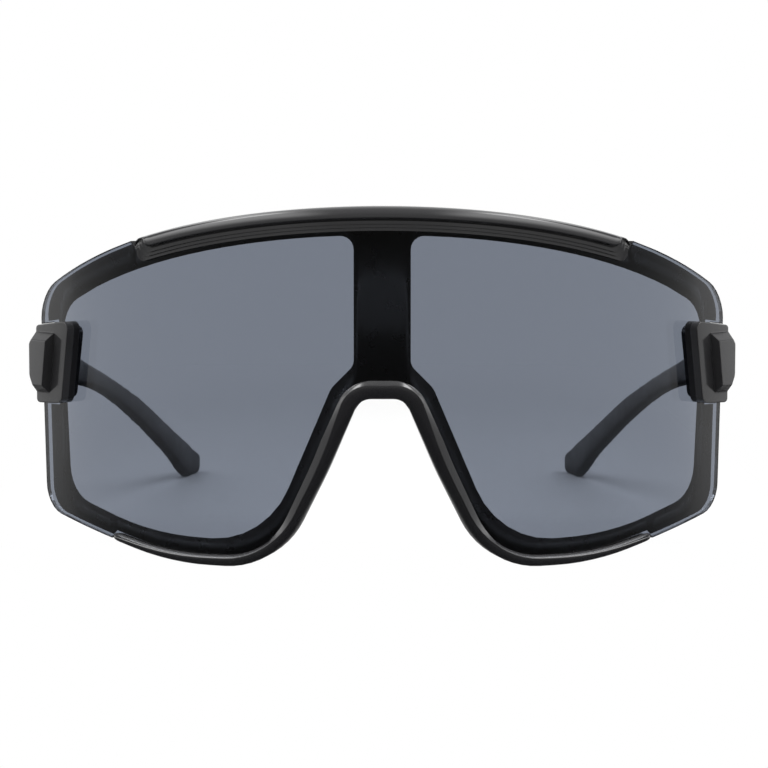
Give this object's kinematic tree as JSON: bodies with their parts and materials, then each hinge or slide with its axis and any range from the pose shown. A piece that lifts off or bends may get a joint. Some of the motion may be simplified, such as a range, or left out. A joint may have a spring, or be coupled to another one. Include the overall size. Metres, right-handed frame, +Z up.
{
  "type": "shield sunglasses",
  "caption": "Wrap-round shield sunglasses: a single bent tinted lens with a dark printed border, brow bar, lower rim with nose arch, side brackets and folding temples.",
  "frame": {"origin": "middle of the footprint, on the table that the lobes of the lower rim and the temple tips stand on", "axes": "+Z up, -Y out of the front of the lens, temples towards +Y, +X to the wearer's left"},
  "size_m": [0.1478, 0.159, 0.0727],
  "materials": {
    "lens_tint": "clear tinted polycarbonate, polished",
    "border_print": "smooth black screen print behind the lens",
    "frame_gloss": "polished black moulded plastic",
    "cover_gloss": "polished black moulded plastic with softened edges",
    "spacer_black": "polished black moulded plastic",
    "temple_satin": "satin black moulded plastic",
    "pad_rubber": "soft matt black rubber",
    "hinge_steel": "stamped nickel-plated steel",
    "screw_steel": "bright plated steel"
  },
  "bodies": {
    "front": {"lens_shield": "lens_tint", "lens_border": "border_print", "brow_bar": "frame_gloss", "lower_rim": "frame_gloss", "nose_pad_left": "pad_rubber", "nose_pad_right": "pad_rubber", "bracket_left": "frame_gloss", "bracket_right": "frame_gloss", "spacer_left": "spacer_black", "spacer_right": "spacer_black", "side_cover_left": "cover_gloss", "side_cover_right": "cover_gloss", "clamp_screws_left": "screw_steel", "clamp_screws_right": "screw_steel", "hinge_front_leaf_left": "hinge_steel", "hinge_front_leaf_right": "hinge_steel", "hinge_screw_left": "screw_steel", "hinge_screw_right": "screw_steel"},
    "temple_left": {"temple_left": "temple_satin", "hinge_temple_leaf_left": "hinge_steel"},
    "temple_right": {"temple_right": "temple_satin", "hinge_temple_leaf_right": "hinge_steel"}
  },
  "joints": [
    {"name": "temple_left_fold", "type": "hinge", "parent": "front", "child": "temple_left", "pos_m": [0.06642, -0.04019, 0.0388], "axis": [0, 0, 1], "range_deg": [0, 88]},
    {"name": "temple_right_fold", "type": "hinge", "parent": "front", "child": "temple_right", "pos_m": [-0.06642, -0.04019, 0.0388], "axis": [0, 0, -1], "range_deg": [0, 84]}
  ]
}
